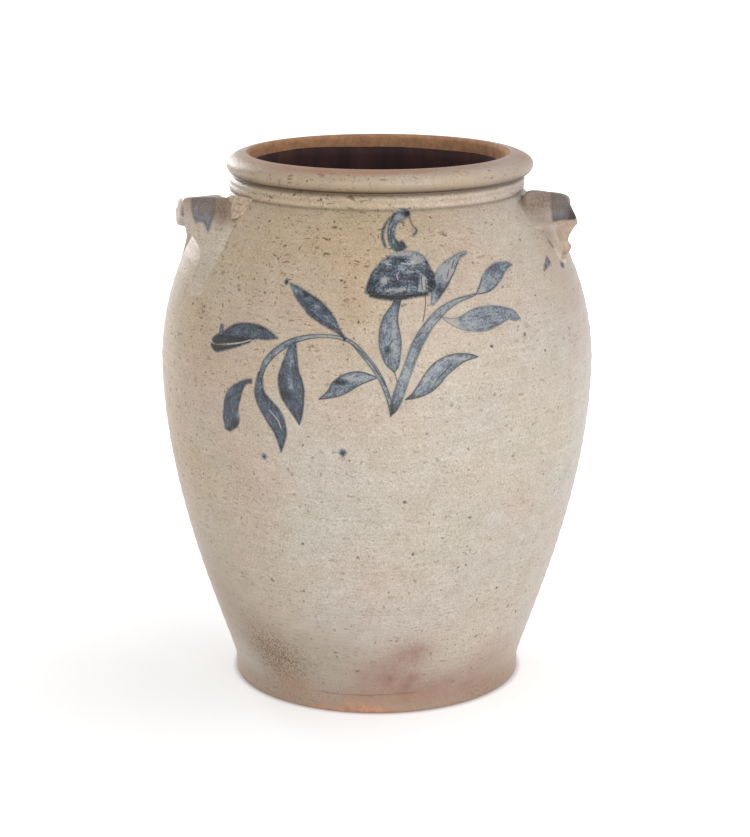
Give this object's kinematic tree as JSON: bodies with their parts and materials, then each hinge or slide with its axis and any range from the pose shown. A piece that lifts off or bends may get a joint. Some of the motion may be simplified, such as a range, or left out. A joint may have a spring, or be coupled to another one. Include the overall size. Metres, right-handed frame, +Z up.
{
  "type": "stoneware crock",
  "caption": "Ovoid salt-glazed storage crock with a rolled rim, a beaded collar, ear handles on the shoulder, a dark slip lining and a brushed cobalt flower sprig.",
  "frame": {"origin": "centre of the foot on the surface it stands on", "axes": "+Z up along the pot's axis, +X towards the right handle, -Y towards the side with the sprig"},
  "size_m": [0.2708, 0.2716, 0.335],
  "materials": {
    "salt_glazed_stoneware": "satin salt glaze, grey-tan with iron specks",
    "brown_slip": "glossy dark brown slip",
    "cobalt_slip": "brushed cobalt slip under salt glaze"
  },
  "bodies": {
    "root": {"thrown_body": "salt_glazed_stoneware", "slip_lining": "brown_slip", "handle_left": "salt_glazed_stoneware", "handle_right": "salt_glazed_stoneware", "cobalt_stem_left": "cobalt_slip", "cobalt_stem_right": "cobalt_slip", "cobalt_leaf_far_left": "cobalt_slip", "cobalt_leaf_low_left": "cobalt_slip", "cobalt_leaf_drooping": "cobalt_slip", "cobalt_leaf_hanging": "cobalt_slip", "cobalt_leaf_upper_left": "cobalt_slip", "cobalt_leaf_mid_low": "cobalt_slip", "cobalt_leaf_under_bell": "cobalt_slip", "cobalt_leaf_low_right": "cobalt_slip", "cobalt_leaf_right": "cobalt_slip", "cobalt_leaf_upper_right": "cobalt_slip", "cobalt_leaf_behind_bell": "cobalt_slip", "cobalt_bell_flower": "cobalt_slip", "cobalt_bud_over_bell": "cobalt_slip"}
  },
  "joints": []
}
